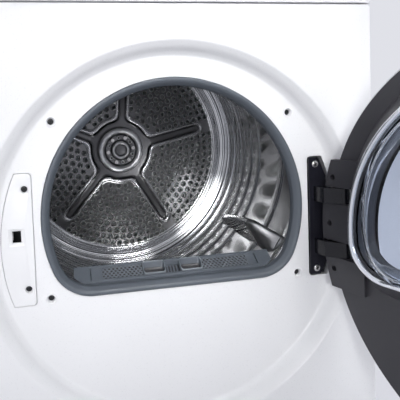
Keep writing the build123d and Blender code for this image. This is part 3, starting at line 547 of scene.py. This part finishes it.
def mouth_gasket():
    """Slate ring round the loading opening, with a lip and a smooth funnel into the drum."""
    shape = Shape()
    profile = softened([(1.1, 24), (1.1, 18.2), (2.2, 17.1), (5.6, 17.0), (7.0, 18.2), (8.0, 18.8),
                        (12.3, 24.4), (12.6, 27), (12.6, 33.5)], 1.6, 3)
    back = ((12.6, 33.5), (-5, 33.5), (-5, 30), (-5, 24))
    for line in (profile, back):
        shape.loft([at(mouth(inset), FRONT + y) for inset, y in line])
    piece("mouth_gasket", shape, "cabinet", "slate_plastic", "mouth_ring")


def star_field(x, z):
    """Distance from the edge of the pressed star, negative inside it."""
    best = np.hypot(x, z) - STAR_HUB
    blend = 16.0
    for angle in STAR_ANGLES:
        ux, uz = math.cos(angle), math.sin(angle)
        along = np.clip(x * ux + z * uz, 0, STAR_REACH)
        arm = np.hypot(x - along * ux, z - along * uz) - STAR_ARM
        mix = np.clip(0.5 + 0.5 * (arm - best) / blend, 0, 1)
        best = arm * (1 - mix) + best * mix - blend * mix * (1 - mix)
    return best


def disc_height(x, z):
    """How far the rear disc stands towards the front: lip round the star, sunk arms, fall to the hub."""
    edge = star_field(x, z)
    lip = 4.6 * np.exp(-np.abs((edge - 0.5) / 3.9) ** 3)
    channel = -3.4 / (1 + np.exp(edge + 4.5))
    dish = -3.5 * np.clip((80 - np.hypot(x, z)) / 24, 0, 1)
    return lip + channel + dish


def perforations():
    """Centres of the rear wall's holes: concentric rows in each of the five sectors."""
    half_sector = math.radians(36)
    row_pitch = 16.2
    hole_pitch = 16.6
    arm_clearance = 22.5
    places = []
    for row in range(10):
        r = 91.5 + row_pitch * row
        half = half_sector - math.asin(arm_clearance / r)
        count = int(2 * half * r / hole_pitch) + 1
        for arm in STAR_ANGLES:
            for k in range(count):
                angle = arm + half_sector + half * (2 * k / (count - 1) - 1)
                places.append((r * math.cos(angle), r * math.sin(angle)))
    return places


def perforated_sheet(shape, holes):
    """Grid of small squares that follows the pressed height, without the holes and the hub."""
    step = 2.0
    edge_r = 243.5
    hub_r = 50
    hole_r = 5.6
    reach = math.ceil(edge_r / step)
    line = np.arange(-reach, reach + 1) * step
    gx, gz = np.meshgrid(line, line)
    height = disc_height(gx, gz)
    from_axis = np.hypot(gx, gz)
    keep = (from_axis < edge_r) & (from_axis > hub_r)
    blocked = np.zeros_like(keep)
    for x, z in holes:
        blocked |= np.hypot(gx + step / 2 - x, gz + step / 2 - z) < hole_r
    index = -np.ones(gx.shape, int)
    points = []
    faces = []
    size = len(line)
    for row in range(size):
        for col in range(size):
            if keep[row, col]:
                index[row, col] = len(points)
                points.append((gx[row, col], DISC_Y - height[row, col], DRUM_Z + gz[row, col]))
    for row in range(size - 1):
        for col in range(size - 1):
            corner = (index[row, col], index[row, col + 1], index[row + 1, col + 1], index[row + 1, col])
            if min(corner) >= 0 and not blocked[row, col]:
                faces.append(corner)
    shape.add(points, faces)


def drum_rear():
    """Rear wall: perforated disc with the pressed star, rimmed holes, and the outer beads."""
    shape = Shape()
    star_clearance = 8.5
    holes = [(x, z) for x, z in perforations() if star_field(x, z) > star_clearance]
    perforated_sheet(shape, holes)
    for x, z in holes:
        y = DISC_Y - float(disc_height(np.array(x), np.array(z)))
        # Rims in the lighter steel are a painted highlight; bores in near-black are a painted shade inside
        # the holes.
        rim = [(7.0, 0.3), (6.8, -0.6), (6.3, -1.6), (5.6, -2.0), (4.9, -1.5), (4.6, -0.4)]
        bore = [(4.6, -0.4), (4.4, 4)]
        for mark, profile in ((2, rim), (3, bore)):
            shape.turned([(r, y + depth) for r, depth in profile], x, DRUM_Z + z, 16, mark)
    beads = [(241, 560.6), (244, 559.4), (248, 556.5), (252, 559.5), (256, 566), (260, 573),
             (265, 574.5), (269, 578), (272, 584), (276, 586.6), (281, 585.4), (283.5, 580), (283.7, 574)]
    profile = softened([(r, FRONT + y) for r, y in beads], 3, 4)
    shape.turned(profile, 0, DRUM_Z, ROUND_STEPS, mark=1)
    piece("drum_back_wall", shape, "drum", "stainless", "drum_rear",
          materials=["disc_steel", "stainless", "painted_highlight_steel", "deep_black"], angle=60)


def drum_hub():
    """Pressed hub: outer ring bead, centre boss, and a seat with six screws and six small dimples. The screw
    heads are lighter steel, a painted highlight, round a near-black disc of painted shade; the dimples are
    flat near-black discs, a painted shade.
    """
    shape = Shape()
    profile = [(58, 568), (57.5, 560), (56, 553), (53, 548.6), (48.5, 547), (44, 548.8), (41, 553),
               (38.5, 558), (37, 558.8), (25, 558.8), (22.5, 553), (19.5, 549), (16.5, 549.4), (14.5, 553),
               (13, 556), (0.01, 556.5)]
    shape.turned(softened([(r, FRONT + y) for r, y in profile], 2.2, 4), 0, DRUM_Z, 96)
    seat_r = 31
    for k in range(12):
        angle = math.radians(38 + 30 * k)
        x, z = seat_r * math.cos(angle), DRUM_Z + seat_r * math.sin(angle)
        # Odd places: dimple drawn as a flat near-black disc, a painted shade.
        if k % 2:
            shape.turned([(2.9, FRONT + 558.6), (0.01, FRONT + 558.5)], x, z, 16, mark=2)
            continue
        head = [(4.8, 559), (4.8, 555.4), (4.0, 554.3), (2.6, 554.1), (2.2, 554.9)]
        shape.turned([(r, FRONT + y) for r, y in head], x, z, 20, mark=1)
        # Near-black disc in the head's recess: a painted shade.
        shape.turned([(2.2, FRONT + 554.9), (0.01, FRONT + 555.2)], x, z, 20, mark=2)
    piece("drum_hub_pressing", shape, "drum", "stainless", "drum_hub",
          materials=["hub_steel", "painted_highlight_steel", "deep_black"])


def drum_shell():
    """Drum wall: rolled front lip and rounded corrugations."""
    shape = Shape()
    inner = [(270, 66), (276, 67.2), (281, 70), (DRUM_R, 76)]
    side = ((15, 0), (12.5, 0.15), (10.8, 0.9), (9.4, 2.4), (8.0, 3.6), (5.8, 4.0), (2.5, 4.2))
    bead = [(-across, depth) for across, depth in side]
    bead += [(across, depth) for across, depth in reversed(side)]
    for centre in (126, 166, 256, 366, 406, 446, 486, 526):
        for across, depth in bead:
            inner.append((DRUM_R - depth, centre + across))
    inner.append((DRUM_R, 586))
    inner = [(r, FRONT + y) for r, y in inner]
    thickness = 1.2
    outer = [(r + thickness, y) for r, y in reversed(inner)]
    shape.turned(inner + outer + inner[:1], 0, DRUM_Z, ROUND_STEPS)
    piece("drum_wall", shape, "drum", "stainless", "drum_shell", angle=60)


def lifters():
    """Three smooth paddles: a broad rounded front, and a crest that falls to the drum wall at the back."""
    shape = Shape()
    section = softened([(284, -22), (283, -20), (258, -9), (234, 2.5), (229, 8.5), (230.5, 14.5), (241, 18),
                        (283, 20), (284, 22)], 9, 6)
    # stations from front to back: depth, share of the height, share of the width, sideways shift
    nose = ((184, 0.02, 0.90, 0), (187, 0.12, 0.95, 0), (193, 0.30, 0.98, 0), (201, 0.55, 1.0, 0),
            (209, 0.79, 1.0, 0), (216, 0.93, 1.0, 0), (224, 0.995, 1.0, 0), (230, 0.995, 1.0, 0))
    tail = (nose[-1], (250, 0.945, 0.98, -0.3), (290, 0.80, 0.92, -1.2), (330, 0.645, 0.85, -2.4),
            (370, 0.485, 0.77, -3.8), (410, 0.31, 0.68, -5.5), (440, 0.16, 0.58, -7),
            (464, 0.02, 0.48, -8.5))
    for degrees in LIFTER_DEGREES:
        for mark, stations in enumerate((nose, tail)):
            loops = [paddle_section(section, degrees, *station) for station in stations]
            shape.loft(loops, mark, closed=False)
    piece("drum_paddles", shape, "drum", "stainless", "drum_lifters",
          materials=["satin_steel", "stainless"], angle=70)


def paddle_section(section, degrees, y, rise, width, shift):
    """Cross-section of a paddle at one depth: its height and width scaled, and moved sideways."""
    foot = DRUM_R + 0.1
    c, s = math.cos(math.radians(degrees)), math.sin(math.radians(degrees))
    loop = []
    for r, t in section:
        r = foot - (foot - r) * rise
        t = t * width + shift
        loop.append((r * c - t * s, FRONT + y, DRUM_Z + r * s + t * c))
    return loop


def filter_cover():
    """Grille of the lint filter: sloped top with wavy ribs, two finger cups and plain ends."""
    shape = Shape()
    y0, y1 = FRONT + 35.5, FRONT + 52.5
    z0, z1 = DISH_Z - 62.2, DISH_Z - 48.7
    low = DISH_Z - 66

    def slope(y, lift=0.0):
        """Height of the sloped top."""
        return z0 + (z1 - z0) * (y - y0) / (y1 - y0) + lift

    def slab(xa, xb, mark, ya=y0, yb=y1, lift=0.0):
        """Block under the sloped top, with softened upper edges."""
        edge = 0.5
        loops = []
        for inset, drop in ((0, 2.0), (0, 0.6), (edge * 0.3, 0.2), (edge, 0)):
            loops.append([(xa + inset, ya + inset, slope(ya, lift) - drop),
                          (xb - inset, ya + inset, slope(ya, lift) - drop),
                          (xb - inset, yb - inset, slope(yb, lift) - drop),
                          (xa + inset, yb - inset, slope(yb, lift) - drop)])
        loops.insert(0, [(xa, ya, low), (xb, ya, low), (xb, yb, low), (xa, yb, low)])
        shape.loft(loops, mark, cap_first=True, cap_last=True)

    # dark ground under the ribs and between the cups: black slabs, a painted shade
    slab(-126, -50.3, 1, lift=-1.2)
    slab(40.3, 126, 1, lift=-1.2)
    slab(-16, 6, 1, y0 + 3, y1 - 3, lift=-3.5)
    # plain ends
    slab(-126, -110, 0)
    slab(112, 126, 0)
    for x_start, x_end in ((-110, -50.5), (40.5, 112)):
        for row in range(6):
            y = y0 + 1.5 + row * (y1 - y0 - 3.0) / 5
            rib(shape, x_start, x_end, y, slope, row % 2)
    cup_width = 34
    for x in (-50, 6):
        cup(shape, x, x + cup_width, y0, y1, slope, low)
    for step in range(4):
        x = -13.5 + step * 4.6
        slab(x, x + 2.4, 0, y0 + 3.5, y1 - 3.5, lift=-2.4)
    piece("lint_filter_grille", shape, "lint_filter", "slate_plastic", "lint_filter_cover",
          materials=["slate_plastic", "black_plastic", "painted_highlight_slate"])


def rib(shape, x_start, x_end, y, slope, phase):
    """Wavy rib along the grille."""
    pitch = 6.0
    steps_per_wave = 8
    count = int((x_end - x_start) / (pitch / steps_per_wave))
    loops = []
    for k in range(count + 1):
        x = x_start + (x_end - x_start) * k / count
        wave = math.cos(2 * math.pi * x / pitch + math.pi * phase)
        yc = y + 0.95 * max(-0.8, min(0.8, wave * 1.3))
        loop = []
        for across, lift in ((-0.7, -1.3), (-0.6, -0.1), (0, 0.3), (0.6, -0.1), (0.7, -1.3)):
            loop.append((x, yc + across, slope(yc + across, lift)))
        loops.append(loop)
    shape.loft(loops, closed=False)


def cup(shape, x0, x1, y0, y1, slope, low):
    """Open finger cup: thin walls with a rounded rim in lighter slate, a painted highlight, that rises to
    the back, round a hollow with a black floor, a painted shade.
    """
    rim_rise = 4.0

    def ring(inset, drop=None):
        """Loop of the wall: drop below the rim, or at the foot where there is none."""
        outline = rounded_box_outline(x0 + inset, x1 - inset, y0 + inset, y1 - inset, 4.0)
        return [(x, y, low if drop is None else slope(y) + rim_rise - drop) for x, y in outline]

    shape.loft([ring(0), ring(0, 0.9)])
    # Rim in lighter slate: a painted highlight.
    shape.loft([ring(0, 0.9), ring(0.3, 0.3), ring(0.8, 0), ring(1.3, 0.3)], mark=2)
    shape.loft([ring(1.3, 0.3), ring(1.5, 2.5), ring(1.8, 9)])
    # Black floor of the hollow: a painted shade.
    shape.loft([ring(1.8, 9), ring(3.0, 10.5)], mark=1, cap_last=True)


def latch_strip():
    """White strip with the bevelled receptacle of the door hook and two screw holes."""
    shape = Shape()
    outline = [(-x, z) for x, z in d_segment(245.5, 202.5, -81, 99, 24, 5.5)]
    outline = softened(outline, 1.0, 1, closed=True)
    hole_r = 5.6
    holes = [circle(x, z, hole_r, 28) for x, z in STRIP_SCREWS]
    bevel = rounded_box_outline(-236, -213, DISH_Z + 1, DISH_Z + 27, 1.5, 3)
    slot = rounded_box_outline(-230.5, -219, DISH_Z + 6, DISH_Z + 22, 0.8, 3)
    loops = [(1.8, 17.0), (0.9, 17.2), (0.3, 17.8), (0, 18.8), (0, 23)]
    shape.loft([at(grown(outline, -inset), FRONT + y) for inset, y in loops])
    shape.flat(FRONT + 17, grown(outline, -1.8), [*holes, bevel])
    shape.loft([at(bevel, FRONT + 17), at(grown(bevel, -0.6), FRONT + 16.6),
                at(grown(bevel, -1.6), FRONT + 16.7), at(slot, FRONT + 20.5), at(slot, FRONT + 24)])
    for x, z in STRIP_SCREWS:
        rim = [(hole_r, FRONT + 17), (5.1, FRONT + 17.2), (4.6, FRONT + 18), (4.3, FRONT + 22)]
        shape.turned(rim, x, z, 28)
    piece("latch_strip", shape, "cabinet", "white_plastic", "filler_strip")


# ---- door ----------------------------------------------------------------------------
def swing():
    """Matrix that opens the closed door about its hinge."""
    hinge = Matrix.Translation((HINGE_X, HINGE_Y, 0))
    return hinge @ Matrix.Rotation(DOOR_OPEN, 4, "Z") @ hinge.inverted()


def door_ring():
    """Chromed ring round the door window."""
    shape = Shape()
    profile = softened([(0.0, 10.1), (0.1, 12.4), (1.4, 14.2), (3.8, 14.6), (6.2, 13.9), (7.6, 12.2),
                        (8.0, 10.2)], 1.2, 3)
    loops = [at(window(inset), FRONT + y) for inset, y in profile]
    loops.append(loops[0])
    shape.loft(loops)
    shape.move(swing())
    piece("window_ring", shape, "door", "chromed", "door_window_ring", angle=50)


def door_bowl():
    """Glass bowl: flange, sloping wall, rounded shoulder and nearly flat end."""
    shape = Shape()
    base = window(26)
    flange = window(8.3)
    middle = [(0.0, DISH_Z + 70)] * len(base)
    outer = [(flange, 11.4), (window(9.2), 12.8), (window(14), 13), (window(22), 13), (base, 13.8)]
    outer += [(between(base, bowl_end(0), t), 11 + 37 * t) for t in (0.12, 0.3, 0.5, 0.7, 0.84)]
    outer += [(between(base, bowl_end(0), 0.93), 44.6), (bowl_end(0.8), 46.6), (bowl_end(5), 47.6),
              (bowl_end(14), 47.9)]
    outer += [(between(bowl_end(30), middle, t), 48) for t in (0.0, 0.3, 0.6, 0.85, 0.999)]
    inner = [(between(bowl_end(40), middle, 0.999), 44.9), (bowl_end(40), 44.8), (bowl_end(12), 44.6),
             (bowl_end(5), 44.2), (between(base, bowl_end(3), 0.9), 41.5)]
    inner += [(between(window(29), bowl_end(3), t), 10.9 + 34 * t) for t in (0.7, 0.5, 0.3, 0.1)]
    inner += [(window(27.5), 10.5), (window(15.3), 10.3), (window(15.3), -23), (window(12.4), -23),
              (window(12.4), 10.3), (flange, 10.3), (flange, 11.6)]
    for skin in (outer, inner):
        shape.loft([at(outline, FRONT + y) for outline, y in skin])
    shape.move(swing())
    piece("glass_bowl", shape, "door", "clear_bowl", "door_bowl", angle=50)


def door_cover():
    """Outer cover of the door: slightly domed tinted window with a black rim."""
    shape = Shape()
    face_y = HINGE_Y - 24
    front = [(0.01, -2), (90, -1.9), (150, -1.65), (185, -1.2), (201, -0.5)]
    border = [(201, -0.5), (203.4, 0.2), (204.6, 1.4), (204.6, 4), (201, 4)]
    back = [(201, 4), (0.01, 4)]
    for mark, profile in ((0, front), (1, border), (0, back)):
        shape.turned([(r, face_y + y) for r, y in profile], 0, DISH_Z, 128, mark)
    shape.move(swing())
    piece("door_glass_cover", shape, "door", "dark_glass", "door_cover",
          materials=["dark_glass", "black_plastic"], angle=50)


def carried_over():
    """Finish for every CAD node that stays visible."""
    for entry in frame["record"]["subparts"]:
        obj = NODES[entry["node"]]
        if obj.hide_render:
            continue
        obj.data.materials.clear()
        obj.data.materials.append(MATERIALS[FINISHES.get(entry["node"], entry["material_slot"])])
        obj.data.shade_smooth()
        weld = obj.modifiers.new("weld", "WELD")
        weld.merge_threshold = 0.01 * MM
        split = obj.modifiers.new("sharp_edges", "EDGE_SPLIT")
        split.split_angle = math.radians(32)


# ---- stage, light and camera ---------------------------------------------------------
def stage():
    """Pale floor that reaches well past the object."""
    reach = 30
    mesh = bpy.data.meshes.new("stage_floor")
    mesh.from_pydata([(x * reach, y * reach, 0) for x, y in ((-1, -1), (1, -1), (1, 1), (-1, 1))], [],
                     [(0, 1, 2, 3)])
    mesh.materials.append(finish("floor", (0.80, 0.80, 0.82), 0.6, tone=0.02, tone_scale=1.0, grain=0.05,
                                 edge=0))
    floor = bpy.data.objects.new("stage_floor", mesh)
    bpy.context.scene.collection.objects.link(floor)


def area_light(name, place, target, size, power, colour=(1, 1, 1), spread=180):
    """Soft rectangular light aimed at a point. The spread is in degrees."""
    data = bpy.data.lights.new(name, "AREA")
    data.shape = "RECTANGLE"
    data.size, data.size_y = size
    data.energy = power
    data.color = colour
    data.spread = math.radians(spread)
    light = bpy.data.objects.new(name, data)
    bpy.context.scene.collection.objects.link(light)
    light.location = place
    light.rotation_euler = (Vector(target) - Vector(place)).to_track_quat("-Z", "Y").to_euler()


def lights():
    """Even light: mostly the world, a fill from the right, narrow lights into the drum, one behind."""
    world = bpy.data.worlds.new("studio")
    bpy.context.scene.world = world
    world.use_nodes = True
    background = world.node_tree.nodes["Background"]
    background.inputs["Color"].default_value = (0.86, 0.87, 0.93, 1)
    background.inputs["Strength"].default_value = 0.87
    area_light("key", (-1.6, -2.4, 2.6), (0, -0.3, 0.5), (1.6, 1.2), 0.6, (1.0, 0.99, 0.98))
    area_light("fill", (1.8, -2.2, 1.2), (0, -0.3, 0.4), (1.4, 1.4), 9, (0.98, 0.99, 1.0))
    area_light("into_drum", (-0.30, -1.5, 0.78), (0.12, 0.15, 0.38), (1.0, 0.7), 0.60, spread=20)
    area_light("drum_from_above", (0.15, -1.3, 1.35), (0.0, -0.2, 0.44), (0.4, 0.3), 0.34, spread=22)
    area_light("back_top", (0.8, 2.4, 2.2), (0, 0, 0.5), (1.6, 1.2), 20)


def camera():
    """Camera at the photograph's viewpoint, fitted to the opening, the dish, the screws and the drum."""
    place = (-0.17609, -0.94699, 0.56443)
    yaw, pitch, roll = 0.18775, -0.0506, -0.03912
    data = bpy.data.cameras.new("camera")
    data.sensor_width = 36
    data.lens = 43.143
    data.shift_x = 0.15
    data.shift_y = -0.15
    data.clip_start = 0.01
    forward = Vector((math.sin(yaw) * math.cos(pitch), math.cos(yaw) * math.cos(pitch), math.sin(pitch)))
    level = Vector((math.cos(yaw), -math.sin(yaw), 0))
    above = level.cross(forward)
    right = level * math.cos(roll) + above * math.sin(roll)
    up = above * math.cos(roll) - level * math.sin(roll)
    turn = Matrix((right, up, -forward)).transposed().to_4x4()
    obj = bpy.data.objects.new("camera", data)
    bpy.context.scene.collection.objects.link(obj)
    obj.matrix_world = Matrix.Translation(place) @ turn
    bpy.context.scene.camera = obj


front_panel()
mouth_gasket()
drum_rear()
drum_hub()
drum_shell()
lifters()
filter_cover()
latch_strip()
surround_screws()
door_ring()
door_bowl()
door_cover()
carried_over()
stage()
lights()
camera()
bpy.context.scene.view_settings.view_transform = "Standard"
